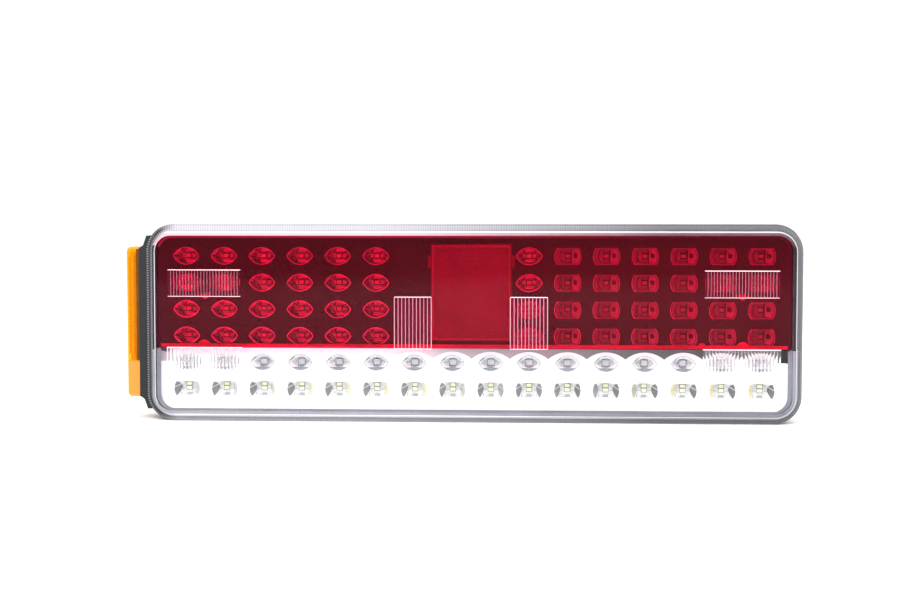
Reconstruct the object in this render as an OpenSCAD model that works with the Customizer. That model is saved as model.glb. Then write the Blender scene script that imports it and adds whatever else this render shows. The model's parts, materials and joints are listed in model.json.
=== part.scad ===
// Rear combination lamp for trailers and trucks: a long rounded housing with a two-shot lens,
// reflector cups over surface-mount LEDs, a reflex reflector and an amber side marker on one end.
// The nodes are drawn face up (X along the lamp, Y up the lamp, Z from the mounting plane to the
// viewer) and stand() turns them so that the lens faces -Y and the studs point to +Y.

/* [Lamp] */
// Overall length of the lens
lamp_w = 430; // [425:1:440]
// Overall height of the lens
lamp_h = 130; // [128:1:134]
// Depth from the mounting plane to the front of the lens
lamp_depth = 48; // [47:1:52]
// Outer corner radius of the lens
corner_r = 18; // [17:1:20]

/* [Optics] */
// Distance between LED columns
pitch_x = 25.2; // [25:0.1:25.3]
// Distance between LED rows
pitch_y = 17.6; // [17.4:0.1:17.8]
// Width of a cup's mouth, inside its lip
cup_w = 15; // [14:0.5:16]
// Height of an almond cup's mouth, inside its lip
cup_h = 9.2; // [8.6:0.2:9.8]
// Width of one flute on the outer patches
flute_w = 2; // [1.9:0.05:2.05]
// Width of the reflex reflector's prism field
reflex_w = 51; // [48:1:52]
// Height of the reflex reflector's prism field
reflex_h = 62; // [60:0.5:63]

/* [Side marker] */
// Length of the amber lens
marker_len = 100; // [96:1:104]
// Depth of the amber lens, front to back
marker_deep = 24; // [22:1:26]
// How far the amber lens stands out of its base
marker_out = 8.6; // [8.2:0.2:10]

/* [Mounting] */
// Stud spacing along the lamp
stud_pitch_x = 300; // [280:5:320]
// Stud spacing up the lamp
stud_pitch_y = 70; // [60:2:74]
// Stud diameter
stud_d = 8; // [6:1:8]
// Free stud length behind the mounting plane
stud_len = 22; // [16:1:30]

/* [Hidden] */
$fn = 48;
eps = 0.01;

columns = 16;
rows = 6;
upper_rows = 4;

// levels in front of the mounting plane
back_z = 4;                       // outer face of the housing's floor
floor_t = 2.5;
floor_z = back_z + floor_t;       // inner face of the floor
flange_z = lamp_depth - 11;       // joint between housing and lens
flange_t = 4.5;
board_z = 26;                     // back of the circuit board
board_t = 1.6;
board_top = board_z + board_t;
cup_base_z = board_top + 1;
bezel_t = 1.5;
bezel_top = flange_z - 0.5;
bezel_z = bezel_top - bezel_t;
sheet_t = 1.5;                    // face sheet of the reflectors
sheet_z = bezel_z - sheet_t;
lens_t = 2.5;
cup_wall = 0.45;
barrel_h = cup_h + 0.8;
cup_lip = 0.3;                    // how far the cups stand out of the bezels
cup_gap = 0.05;
almond_taper = 0.42;
barrel_taper = 0.45;
channel_w = 5.2;                  // upright channel round the LEDs
almond_channel = 6.8;
lens_in = lamp_depth - lens_t;    // inner face of the lens window

// holes, posts and pins
screw_clear_r = 1.4;
post_r = 4;
pin_r = 1.5;
wire_hole_r = 3;
marker_hole_r = 1.8;
pad_r = 16;
pad_hole_r = 10;
hex_r = 9.2;                      // stud heads and nuts, across the corners
rib_t = 1.5;
rib_x = [-188, -112, -56, 56, 112, 188];
rib_y = 52;
board_w = 404;
board_h = 104;

// outlines, measured from the window path that the lens rim is swept along
rim_out = 7.5;
window_w = lamp_w - 2 * rim_out;
window_h = lamp_h - 2 * rim_out;
window_r = corner_r - rim_out;
body_out = 3.5;                   // housing body beyond the window path
body_w = window_w + 2 * body_out;
body_h = window_h + 2 * body_out;
body_r = window_r + body_out;
body_wall = 2.4;
bezel_w = window_w + 1;
bezel_h = window_h + 0.6;
bezel_r = window_r;
groove_in = 3.9;                  // sealing groove, from the window path
groove_w = 1.6;
groove_deep = 2.4;
seal_t = 1;

row_gap_y = -(upper_rows - rows / 2) * pitch_y;  // between the red and the clear rows
split_y = row_gap_y + 1.6;        // where the red and clear lens shots meet
row5_y = row_y(4);
scallop_top = row_gap_y - 1.2;
scallop_deep = 4.7;
scallop_r = (pow(pitch_x / 2, 2) + pow(scallop_deep, 2)) / (2 * scallop_deep);
scallop_end_y = row_gap_y - 8;
flute_x = 175;                    // middle of the outer flute patches
flute_high = 17.4;
bezel_bottom = -bezel_h / 2;

reflex_y = row_y(0) - 23.7;
reflex_frame = 1.6;
screw_x = (columns / 2 - 1) * pitch_x;
screw_sites = [for (sx = [-1, 1], sy = [-1, 1]) [sx * screw_x, sy * pitch_y]];
upper_screws = [for (p = screw_sites) if (p[1] > 0) p];
lower_screws = [for (p = screw_sites) if (p[1] < 0) p];
pin_sites = [for (s = [-4, 0, 4]) [s * pitch_x, -2 * pitch_y]];
lug_r = 3.2;
reflector_head_r = 2.3;
post_x = 92;
post_y = 49.5;
post_sites = [for (sx = [-1, 1], sy = [-1, 1]) [sx * post_x, sy * post_y]];
stud_sites = [for (sx = [-1, 1], sy = [-1, 1]) [sx * stud_pitch_x / 2, sy * stud_pitch_y / 2]];

stud_shoulder_r = 5;
stud_boss_z = floor_z + 2;
stud_seal_t = 1.5;
stud_head_z = stud_boss_z + stud_seal_t;
nut_t = 3.4;

inlet_flange = 36;
inlet_wall_r = 13;
inlet_mouth_r = 10.5;
inlet_bore_r = 9.5;
inlet_out = 14;                   // how far the socket stands behind the mounting plane
inlet_mouth_len = 6;
inlet_screw_at = 13.5;
inlet_screw_sites = [for (s = [-1, 1], t = [-1, 1]) inlet_screw_at * [s, t]];
contact_ring_r = 5.6;
contact_sites = concat([[0, 0]], [for (i = [0:5]) contact_ring_r * [cos(60 * i), sin(60 * i)]]);
header_x = 62;
wire_r = 0.6;
vent_site = [-70, -26];
reverse_led_y = [-0.35, 2.55];    // the two reversing LEDs in a cup, above its middle

marker_x = -body_w / 2;           // the housing's end wall
marker_gasket_t = 0.8;
marker_base_x = marker_x - marker_gasket_t;
marker_seat_x = marker_x - 11;   // where the amber lens seats
marker_y = -0.6;                  // middle of the marker, up the lamp
marker_z = 18.5;                  // middle of the marker, front to back
marker_base_deep = marker_deep + 3;
marker_base_len = marker_len + 15.6;
marker_wall = 1.8;
marker_fit = 0.3;
marker_board_x = marker_base_x - 4;
marker_window = 24;               // plain end of the amber lens, over its LEDs
marker_screw_y = marker_len / 2 + 3.6;

amber_led_y = [for (i = [0:3]) -marker_len / 2 + 8 + i * 5];

function col_x(c) = (c - (columns - 1) / 2) * pitch_x;
function row_y(r) = ((rows - 1) / 2 - r) * pitch_y;

tail_sites = [for (r = [0:3], c = [0:15]) if (c < 6 || c == 9) [col_x(c), row_y(r)]];
turn_sites = [for (r = [0:3], c = [10:15]) [col_x(c), row_y(r)]];
fog_sites = [for (c = [0:15]) [col_x(c), row_y(4)]];
reverse_sites = [for (c = [0:15]) [col_x(c), row_y(5)]];

// ---------- shared shapes ----------

module stand() rotate([90, 0, 0]) children();

module at(sites) for (p = sites) translate([p[0], p[1], 0]) children();

module rounded_rect(w, h, r) {
    square([w - 2 * r, h], center = true);
    square([w, h - 2 * r], center = true);
    for (sx = [-1, 1], sy = [-1, 1])
        translate([sx * (w / 2 - r), sy * (h / 2 - r)]) circle(r = r);
}

module slab(w, h, r, z0, z1) translate([0, 0, z0]) linear_extrude(z1 - z0) rounded_rect(w, h, r);

// sweeps a profile of [distance out from the path, level] round a rounded rectangle
module rim_sweep(w, h, r, profile) {
    for (side = [0, 180]) rotate([0, 0, side]) {
        translate([w / 2 - r, h / 2 - r, 0])
            rotate_extrude(angle = 90) translate([r, 0]) polygon(profile);
        translate([-(w / 2 - r), h / 2 - r, 0]) rotate([0, 0, 90])
            rotate_extrude(angle = 90) translate([r, 0]) polygon(profile);
        translate([w / 2, -(h / 2 - r), 0]) rotate([90, 0, 180]) mirror([1, 0, 0])
            linear_extrude(h - 2 * r) polygon(profile);
        translate([-(w / 2 - r), h / 2, 0]) rotate([90, 0, 90])
            linear_extrude(w - 2 * r) polygon(profile);
    }
}

function almond_r(w, h) = (w * w / 4 + h * h / 4) / h;

module almond(w, h) {
    r = almond_r(w, h);
    intersection() {
        translate([0, r - h / 2]) circle(r = r);
        translate([0, -(r - h / 2)]) circle(r = r);
    }
}

module barrel(w, h) intersection() {
    circle(d = w);
    square([w + 1, h], center = true);
}

// the space inside an almond cup: two crossing cones that narrow towards the board, and the
// upright channel round the LED
module almond_space(grow, z0, z1) {
    r = almond_r(cup_w, cup_h);
    k = r - cup_h / 2;
    low = (z0 - bezel_z) * almond_taper;
    high = (z1 - bezel_z) * almond_taper;
    intersection_for(s = [-1, 1]) translate([0, s * k, z0])
        cylinder(h = z1 - z0, r1 = r + grow + low, r2 = r + grow + high);
    channel(almond_channel, grow, z0, sheet_z - 2);
}

// the space inside a barrel cup: a cone cut flat above and below, with an upright channel
module barrel_space(grow, z0, z1) {
    low = (z0 - bezel_z) * barrel_taper;
    high = (z1 - bezel_z) * barrel_taper;
    intersection() {
        translate([0, 0, z0])
            cylinder(h = z1 - z0, r1 = cup_w / 2 + grow + low, r2 = cup_w / 2 + grow + high);
        translate([0, 0, (z0 + z1) / 2])
            cube([cup_w + 9, barrel_h + 2 * grow, z1 - z0], center = true);
    }
    channel(barrel_h, grow, z0, sheet_z - 1);
}

module channel(height, grow, z0, z1) translate([0, 0, (z0 + z1) / 2])
    cube([channel_w + 2 * grow, height + 2 * grow, z1 - z0], center = true);

module almond_cup() difference() {
    almond_space(cup_wall, cup_base_z, bezel_top + cup_lip);
    almond_space(0, cup_base_z - 1, bezel_top + 1);
}

module barrel_cup() difference() {
    barrel_space(cup_wall, cup_base_z, bezel_top + cup_lip);
    barrel_space(0, cup_base_z - 1, bezel_top + 1);
}

// openings in the bezels, just clear of the cups' lips
module almond_opening() {
    r = almond_r(cup_w, cup_h);
    grow = cup_wall + (bezel_t + cup_lip) * almond_taper + cup_gap;
    intersection_for(s = [-1, 1]) translate([0, s * (r - cup_h / 2)]) circle(r = r + grow);
}

module barrel_opening() intersection() {
    circle(r = cup_w / 2 + cup_wall + (bezel_t + cup_lip) * barrel_taper + cup_gap);
    square([cup_w + 9, barrel_h + 2 * cup_wall + 2 * cup_gap], center = true);
}

module pan_screw(head_r, head_t, shank_r, shank_len) {
    difference() {
        cylinder(h = head_t, r1 = head_r, r2 = head_r * 0.8);
        for (a = [0, 90]) rotate([0, 0, a])
            translate([0, 0, head_t]) cube([head_r * 1.1, head_r * 0.28, head_t], center = true);
    }
    translate([0, 0, -shank_len]) cylinder(h = shank_len + eps, r = shank_r);
}

module led_package(w, h, t) difference() {
    translate([0, 0, t / 2]) cube([w, h, t], center = true);
    translate([0, 0, t - 0.3]) cylinder(h = 1, r = h * 0.4);
}

// one flute patch, standing out of the lens face
module flute_patch(count, width, height) {
    pitch = width / count;
    steps = 7;
    rise = 0.52;
    crown = [for (i = [0:count - 1], k = [0:steps - 1])
        [-width / 2 + (i + k / steps) * pitch, 0.08 + rise * sin(180 * k / steps)]];
    translate([0, -height / 2, lamp_depth]) rotate([90, 0, 0]) mirror([0, 0, 1])
        linear_extrude(height)
            polygon(concat([[width / 2, -0.6], [-width / 2, -0.6]], crown, [[width / 2, 0.08]]));
}

// a wire along straight runs with round elbows
module wire(points, r) for (i = [0:len(points) - 2]) {
    run = points[i + 1] - points[i];
    translate(points[i]) {
        rotate([0, acos(run[2] / norm(run)), atan2(run[1], run[0])]) cylinder(h = norm(run), r = r);
        if (i > 0) sphere(r = r * 1.15);
    }
}

// ---------- housing and lens ----------

module housing() color([0.09, 0.09, 0.1]) stand() difference() {
    union() {
        slab(body_w - 6, body_h - 6, body_r - 3, back_z, back_z + 3);
        slab(body_w, body_h, body_r, back_z + 3, flange_z);
        slab(lamp_w - 0.4, lamp_h - 0.4, corner_r - 0.2, flange_z - flange_t, flange_z);
        back_ribs();
    }
    housing_cavity();
    at(stud_sites) translate([0, 0, back_z - 1]) cylinder(h = 10, r = stud_shoulder_r + 0.05);
    translate([0, 0, back_z - 1]) cylinder(h = 9, r = inlet_bore_r + 1.5);
    at([vent_site]) translate([0, 0, back_z - 2]) cylinder(h = 9, r = wire_hole_r);
    at(inlet_screw_sites)
        translate([0, 0, back_z - 1]) cylinder(h = 2.9, r = 1.25);
    translate([marker_x - 1, marker_y, marker_z])
        rotate([0, 90, 0]) cylinder(h = 6, r = wire_hole_r);
    for (s = [-1, 1]) translate([marker_x - 1, marker_y + s * marker_screw_y, marker_z])
        rotate([0, 90, 0]) cylinder(h = 6, r = 1.5);
    sealing_groove();
}

module housing_cavity() difference() {
    union() {
        slab(body_w - 2 * body_wall - 4, body_h - 2 * body_wall - 4, body_r - body_wall,
             floor_z, floor_z + 3);
        slab(body_w - 2 * body_wall, body_h - 2 * body_wall, body_r - body_wall,
             floor_z + 2, flange_z + 1);
    }
    at(stud_sites) translate([0, 0, floor_z - 1]) cylinder(h = stud_boss_z - floor_z + 1, r = 12);
    at(screw_sites) post(floor_z - 1, board_z, 1.25);
    at(post_sites) post(floor_z - 1, board_z, 1.75);
    translate([0, 0, floor_z - 1]) difference() {
        cylinder(h = 4, r = inlet_bore_r + 4);
        translate([0, 0, -1]) cylinder(h = 6, r = inlet_bore_r + 1.5);
    }
}

module post(z0, z1, bore_r) translate([0, 0, z0]) difference() {
    cylinder(h = z1 - z0, r = post_r);
    translate([0, 0, z1 - z0 - 11]) cylinder(h = 12, r = bore_r);
}

module back_ribs() {
    for (x = rib_x) translate([x - rib_t / 2, -body_h / 2 + 9, back_z - rib_t])
        cube([rib_t, body_h - 18, 2]);
    for (s = [-1, 1]) translate([rib_x[0], s * rib_y - rib_t / 2, back_z - rib_t])
        cube([-2 * rib_x[0], rib_t, 2]);
}

module sealing_groove() rim_sweep(window_w, window_h, window_r, [
    [groove_in, flange_z - groove_deep], [groove_in + groove_w, flange_z - groove_deep],
    [groove_in + groove_w, flange_z + 1], [groove_in, flange_z + 1]]);

module lens_seal() color([0.2, 0.2, 0.2]) stand() rim_sweep(window_w, window_h, window_r, [
    [groove_in, flange_z - groove_deep], [groove_in + groove_w, flange_z - groove_deep],
    [groove_in + groove_w, flange_z - groove_deep + seal_t],
    [groove_in, flange_z - groove_deep + seal_t]]);

fillet_r = 3;
rim_profile = concat(
    [[1.4, flange_z], [groove_in + 0.1, flange_z],
     [groove_in + 0.1, flange_z - groove_deep + seal_t],
     [groove_in + groove_w - 0.1, flange_z - groove_deep + seal_t],
     [groove_in + groove_w - 0.1, flange_z],
     [rim_out, flange_z], [rim_out, flange_z + 2.2], [rim_out - 0.4, flange_z + 2.6],
     [4.3, flange_z + 2.6], [3.7, flange_z + 3.2]],
    [for (a = [0:15:90]) [0.2 + fillet_r * cos(a), lamp_depth - fillet_r + fillet_r * sin(a)]],
    [[-0.5, lamp_depth], [-0.5, lens_in], [0.3, lens_in], [0.8, lens_in - 0.5]]);

module window_plate(w, h, r) translate([0, 0, lens_in]) linear_extrude(lens_t) rounded_rect(w, h, r);

module red_field() translate([-window_w / 2, split_y, 0]) cube([window_w, window_h, 100]);

module lens_clear() color([0.92, 0.94, 0.96, 0.35]) stand() {
    difference() {
        rim_sweep(window_w, window_h, window_r, rim_profile);
        lens_red_plate();
    }
    difference() {
        window_plate(window_w - 1 + eps, window_h - 1 + eps, window_r - 0.5);
        red_field();
    }
    for (s = [-1, 1]) translate([s * flute_x, split_y - flute_high / 2, 0])
        flute_patch(24, 2 * pitch_x - 0.4, flute_high);
}

module lens_red_plate() intersection() {
    window_plate(window_w, window_h, window_r);
    red_field();
}

module lens_red() color([0.8, 0.02, 0.08, 0.5]) stand() {
    lens_red_plate();
    // stiffening rib behind the lower edge of the red shot
    translate([-window_w / 2 + 6, split_y, lens_in - 3]) cube([window_w - 12, 2.6, 3 + eps]);
    for (s = [-1, 1]) translate([s * flute_x, row_y(1), 0]) flute_patch(24, 24 * flute_w, 17);
    for (s = [-1, 1]) translate([s * 1.5 * pitch_x, (pitch_y + split_y) / 2, 0])
        flute_patch(10, 24, pitch_y - split_y - 0.2);
}

// ---------- bezels and reflectors ----------

module upper_outline() intersection() {
    rounded_rect(bezel_w, bezel_h, bezel_r);
    translate([-bezel_w / 2, split_y - 0.6]) square([bezel_w, bezel_h]);
}

module lower_outline() {
    intersection() {
        rounded_rect(bezel_w, bezel_h, bezel_r);
        translate([-bezel_w / 2, bezel_bottom]) square([bezel_w, scallop_end_y - bezel_bottom]);
    }
    intersection() {
        at(fog_sites) translate([0, scallop_top - scallop_r - row5_y]) circle(r = scallop_r);
        translate([-columns * pitch_x / 2, bezel_bottom + 10])
            square([columns * pitch_x, bezel_h]);
    }
}

module screw_holes() {
    at(upper_screws) circle(r = screw_clear_r);
    at(lower_screws) circle(r = lug_r + 0.4);
}

module upper_bezel() color([0.1, 0.08, 0.09]) stand()
    translate([0, 0, bezel_z]) linear_extrude(bezel_t) difference() {
        upper_outline();
        at(tail_sites) almond_opening();
        at(turn_sites) barrel_opening();
        screw_holes();
    }

module lower_bezel() color([0.95, 0.95, 0.96]) stand()
    translate([0, 0, bezel_z]) linear_extrude(bezel_t) difference() {
        lower_outline();
        at(fog_sites) almond_opening();
        at(reverse_sites) barrel_opening();
        screw_holes();
    }

module screw_sleeve() translate([0, 0, board_top + 0.2]) difference() {
    cylinder(h = sheet_z - board_top, r = 2.9);
    translate([0, 0, -1]) cylinder(h = 20, r = screw_clear_r);
}

module upper_reflector() color([0.8, 0.8, 0.82]) stand() {
    translate([0, 0, sheet_z]) linear_extrude(sheet_t) difference() {
        union() {
            intersection() {
                rounded_rect(bezel_w - 1, bezel_h - 1, bezel_r);
                translate([-bezel_w / 2, split_y + 0.2]) square([bezel_w, bezel_h]);
            }
            at(lower_screws) circle(r = lug_r);
        }
        at(tail_sites) almond(cup_w, cup_h);
        at(turn_sites) barrel(cup_w, barrel_h);
        at(screw_sites) circle(r = screw_clear_r);
    }
    at(tail_sites) almond_cup();
    at(turn_sites) barrel_cup();
    at(screw_sites) screw_sleeve();
}

module lower_reflector() color([0.85, 0.85, 0.87]) stand() {
    translate([0, 0, sheet_z]) linear_extrude(sheet_t) difference() {
        intersection() {
            rounded_rect(columns * pitch_x, bezel_h - 1, bezel_r);
            translate([-bezel_w / 2, bezel_bottom]) square([bezel_w, split_y - bezel_bottom]);
        }
        at(fog_sites) almond(cup_w, cup_h);
        at(reverse_sites) barrel(cup_w, barrel_h);
        at(lower_screws) circle(r = lug_r + 0.2);
    }
    at(fog_sites) almond_cup();
    at(reverse_sites) barrel_cup();
    at(pin_sites) translate([0, 0, board_z - 1.5]) cylinder(h = sheet_z - board_z + 2, r = pin_r);
}

module reflector_screws() color([0.75, 0.75, 0.78]) stand() {
    at(upper_screws) translate([0, 0, bezel_top])
        pan_screw(reflector_head_r, 1.6, 1.2, bezel_top - board_z + 8);
    at(lower_screws) translate([0, 0, bezel_z])
        pan_screw(reflector_head_r, 1.6, 1.2, bezel_z - board_z + 8);
}

module reflex_reflector() color([0.7, 0.0, 0.1, 0.8]) stand() translate([0, reflex_y, 0]) {
    slab_t = 2.4;
    z1 = lens_in - 0.8;
    translate([0, 0, z1 - slab_t / 2])
        cube([reflex_w, reflex_h, slab_t], center = true);
    difference() {
        translate([0, 0, z1 - 2.2])
            cube([reflex_w + 2 * reflex_frame, reflex_h + 2 * reflex_frame, 4.4], center = true);
        cube([reflex_w, reflex_h, 200], center = true);
    }
}

module reflex_backing() color([0.85, 0.1, 0.15]) stand() translate([0, reflex_y, 0]) {
    z1 = lens_in - 0.8 - 4.4;
    translate([0, 0, bezel_top]) difference() {
        translate([0, 0, (z1 - bezel_top) / 2])
            cube([reflex_w + 2, reflex_h + 2, z1 - bezel_top], center = true);
        translate([0, 0, 1.2]) translate([0, 0, 5])
            cube([reflex_w - 1, reflex_h - 1, 10], center = true);
    }
    for (s = [-1, 1], y = [-20, 20]) translate([s * (reflex_w / 2 + 1.9), y, bezel_top + 1.2])
        cube([2, 8, 2.4], center = true);
}

// ---------- electronics ----------

module circuit_board() color([0.92, 0.93, 0.92]) stand()
    translate([0, 0, board_z]) linear_extrude(board_t) difference() {
        rounded_rect(board_w, board_h, 6);
        at(screw_sites) circle(r = screw_clear_r);
        at(post_sites) circle(r = 1.9);
        at(pin_sites) circle(r = pin_r + 0.1);
    }

module board_screws() color([0.7, 0.7, 0.72]) stand()
    at(post_sites) translate([0, 0, board_top]) pan_screw(3, 1.8, 1.7, 9);

module tail_leds() color([0.9, 0.88, 0.8]) stand()
    at(tail_sites) translate([0, 0, board_top]) led_package(3.5, 2.8, 1.9);

module turn_leds() color([0.92, 0.85, 0.6]) stand()
    at(turn_sites) translate([0, 0, board_top]) led_package(3.5, 2.8, 1.9);

module fog_leds() color([0.9, 0.9, 0.88]) stand()
    at(fog_sites) translate([0, 0, board_top]) led_package(5, 4.4, 1.6);

module reverse_leds() color([0.95, 0.95, 0.7]) stand()
    for (dy = reverse_led_y) at(reverse_sites)
        translate([0, dy, board_top]) led_package(3.5, 2.4, 1.9);

module board_resistors() color([0.15, 0.15, 0.16]) stand() {
    at(reverse_sites) translate([0, -4.2, board_top]) translate([0, 0, 0.3])
        cube([3.2, 1.5, 0.6], center = true);
    for (x = [-160:20:160]) translate([x, 44, board_z - 0.3]) cube([3.2, 1.6, 0.6], center = true);
}

module driver_chips() color([0.08, 0.08, 0.08]) stand()
    for (x = [-120, -90, 90, 120]) translate([x, 0, board_z]) {
        translate([0, 0, -0.9]) cube([5, 4, 1.6], center = true);
        for (s = [-1, 1], k = [-1.5:1:1.5]) translate([k * 1.27, s * 2.5, -0.25])
            cube([0.4, 1.4, 0.3], center = true);
    }

module capacitors() color([0.2, 0.22, 0.3]) stand()
    for (x = [-60, 100]) translate([x, 24, board_z - 8.5]) {
        cylinder(h = 8, r = 4);
        translate([-4.2, -4.2, 7]) cube([8.4, 8.4, 1.5]);
    }

module board_header() color([0.9, 0.88, 0.8]) stand()
    translate([header_x, 0, board_z - 7]) difference() {
        translate([0, 0, 3.5]) cube([10, 15, 7], center = true);
        translate([0, 0, 1.5]) cube([7.6, 12.6, 6], center = true);
    }

module inner_wires() color([0.7, 0.1, 0.1]) stand() for (p = contact_sites) {
    rank = round((contact_ring_r - p[0]) / contact_ring_r * 2) / 2;
    level = floor_z + 4.6 + 1.7 * rank;
    x_end = header_x + 2 - 2 * rank;
    wire([[p[0], p[1], back_z + 4.4], [p[0], p[1], level],
          [x_end, p[1], level], [x_end, p[1], board_z - 2.5]], wire_r);
}

// ---------- inlet, vent and studs ----------

module inlet_socket() color([0.12, 0.12, 0.13]) stand() {
    difference() {
        union() {
            slab(inlet_flange, inlet_flange, 4, back_z - 2.3, back_z - 0.8);
            translate([0, 0, -inlet_out]) cylinder(h = inlet_out + back_z - 1, r = inlet_wall_r);
            translate([0, 0, back_z - 1]) cylinder(h = 4.5, r = inlet_bore_r + 1.3);
            for (a = [90, 210, 330]) rotate([0, 0, a])
                translate([inlet_wall_r - 1, 0, -inlet_out + 4]) rotate([0, 90, 0])
                    cylinder(h = 3.2, r = 1.8);
        }
        translate([0, 0, -inlet_out - 1]) cylinder(h = inlet_mouth_len + 1, r = inlet_mouth_r);
        translate([0, 0, -inlet_out + 1]) cylinder(h = inlet_out + 2, r = inlet_bore_r);
        at(contact_sites) translate([0, 0, -2]) cylinder(h = 20, r = 1.2);
        at(inlet_screw_sites)
            translate([0, 0, -1]) cylinder(h = 9, r = 1.55);
    }
}

module inlet_gasket() color([0.05, 0.05, 0.05]) stand()
    translate([0, 0, back_z - 0.8]) linear_extrude(0.8) difference() {
        rounded_rect(inlet_flange, inlet_flange, 4);
        circle(r = inlet_bore_r + 1.4);
        at(inlet_screw_sites) circle(r = 1.55);
    }

module inlet_contacts() color([0.85, 0.7, 0.35]) stand() at(contact_sites) {
    translate([0, 0, -5]) cylinder(h = back_z + 9.4, r = 1.2);
    translate([0, 0, -6.2]) cylinder(h = 1.2, r1 = 0.6, r2 = 1.2);
}

module inlet_screws() color([0.75, 0.75, 0.78]) stand()
    at(inlet_screw_sites)
        translate([0, 0, back_z - 2.3]) mirror([0, 0, 1]) pan_screw(2.6, 1.5, 1.2, 3.9);

module vent_cap() color([0.1, 0.1, 0.1]) stand() at([vent_site]) difference() {
    union() {
        translate([0, 0, back_z - 3]) cylinder(h = 3, r = 7);
        translate([0, 0, back_z - 1]) cylinder(h = floor_t + 2.5, r = 2.95);
    }
    translate([0, 0, back_z - 1]) cylinder(h = 8, r = 1.5);
    for (a = [0:60:300]) rotate([0, 0, a]) translate([3.6, 0, back_z - 2.2])
        rotate([0, 90, 0]) cylinder(h = 6, r = 0.5);
}

module vent_membrane() color([0.95, 0.95, 0.95]) stand() at([vent_site])
    translate([0, 0, floor_z + 1.5]) cylinder(h = 0.4, r = 2.9);

module mounting_studs() color([0.8, 0.8, 0.78]) stand() at(stud_sites) {
    translate([0, 0, -stud_len + 1.2]) cylinder(h = stud_len - 1.2 + eps, r = stud_d / 2);
    translate([0, 0, -stud_len]) cylinder(h = 1.2, r1 = stud_d / 2 - 1, r2 = stud_d / 2);
    cylinder(h = stud_head_z + eps, r = stud_shoulder_r);
    translate([0, 0, stud_head_z]) cylinder(h = 5, r = hex_r, $fn = 6);
}

module stud_seals() color([0.05, 0.05, 0.05]) stand() at(stud_sites)
    translate([0, 0, stud_boss_z]) difference() {
        cylinder(h = stud_seal_t, r = 8.8);
        translate([0, 0, -1]) cylinder(h = 5, r = stud_shoulder_r + 0.05);
    }

module stud_nuts() color([0.78, 0.78, 0.76]) stand() at(stud_sites)
    translate([0, 0, back_z - nut_t]) difference() {
        cylinder(h = nut_t, r = hex_r, $fn = 6);
        translate([0, 0, -1]) cylinder(h = 9, r = stud_shoulder_r + 0.05);
    }

module mounting_pads() color([0.07, 0.07, 0.07]) stand() at(stud_sites) difference() {
    union() {
        cylinder(h = back_z, r = pad_r - 1);
        translate([0, 0, back_z / 2]) cylinder(h = back_z / 2, r = pad_r);
    }
    translate([0, 0, -1]) cylinder(h = 9, r = pad_hole_r);
}

// ---------- side marker ----------

// stands the marker's nodes up, with their middle at marker_y
module marker_stand() stand() translate([0, marker_y, 0]) children();

// a rounded block along the marker, between two distances out of the lamp's end
module marker_block(x0, x1, len, deep) translate([x1, 0, marker_z]) rotate([0, 90, 0])
    linear_extrude(x0 - x1) rounded_rect(deep, len, 3);

module marker_base() color([0.1, 0.1, 0.11]) marker_stand() difference() {
    union() {
        translate([0, 0, marker_z - marker_base_deep / 2]) linear_extrude(marker_base_deep)
            polygon([
                [marker_base_x, -marker_base_len / 2], [marker_base_x - 5, -marker_base_len / 2],
                [marker_base_x - 7.2, -marker_len / 2 - 1.5], [marker_seat_x, -marker_len / 2 + 0.6],
                [marker_seat_x, marker_len / 2 - 0.6], [marker_base_x - 7.2, marker_len / 2 + 1.5],
                [marker_base_x - 5, marker_base_len / 2], [marker_base_x, marker_base_len / 2]]);
        marker_block(marker_seat_x + eps, marker_seat_x - 3,
                     marker_len - 2 * marker_wall - 2 * marker_fit,
                     marker_deep - 2 * marker_wall - 2 * marker_fit);
    }
    marker_block(marker_base_x - 3, marker_seat_x - 4, marker_len - 10, marker_deep - 10);
    translate([marker_base_x + 1, 0, marker_z])
        rotate([0, -90, 0]) cylinder(h = 6, r = wire_hole_r);
    for (s = [-1, 1]) translate([marker_base_x + 1, s * marker_screw_y, marker_z])
        rotate([0, -90, 0]) cylinder(h = 9, r = marker_hole_r);
    for (s = [-1, 1]) translate([marker_base_x - 3, s * marker_screw_y, marker_z])
        rotate([0, -90, 0]) cylinder(h = 11, r = 3.4);
}

module marker_gasket() color([0.04, 0.04, 0.04]) marker_stand()
    translate([marker_base_x, 0, marker_z]) rotate([0, 90, 0]) linear_extrude(marker_gasket_t)
        difference() {
            rounded_rect(marker_base_deep - 2, marker_base_len - 1, 2);
            circle(r = wire_hole_r);
            for (s = [-1, 1]) translate([0, s * marker_screw_y]) circle(r = marker_hole_r);
        }

module marker_lens() color([1.0, 0.55, 0.0, 0.6]) marker_stand() difference() {
    union() {
        marker_block(marker_seat_x, marker_seat_x - marker_out + 1.2, marker_len, marker_deep);
        marker_block(marker_seat_x - marker_out + 1.2, marker_seat_x - marker_out,
                     marker_len - 2, marker_deep - 2);
    }
    marker_block(marker_seat_x + 1, marker_seat_x - marker_out + marker_wall,
                 marker_len - 2 * marker_wall, marker_deep - 2 * marker_wall);
}

module marker_reflex() color([1.0, 0.5, 0.0, 0.8]) marker_stand()
    translate([marker_seat_x - marker_out + marker_wall + 0.1,
               -marker_len / 2 + marker_window + 1, marker_z - marker_deep / 2 + 2.6])
        cube([2, marker_len - marker_window - 4, marker_deep - 5.2]);

module marker_board() color([0.9, 0.92, 0.9]) marker_stand()
    translate([marker_board_x, 0, marker_z]) rotate([0, 90, 0]) linear_extrude(1)
        rounded_rect(marker_deep - 11, marker_len - 12, 2);

module marker_leds() color([0.95, 0.8, 0.3]) marker_stand() for (y = amber_led_y)
    translate([marker_board_x, y, marker_z]) rotate([0, -90, 0]) led_package(3.5, 2.8, 1.9);

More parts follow.
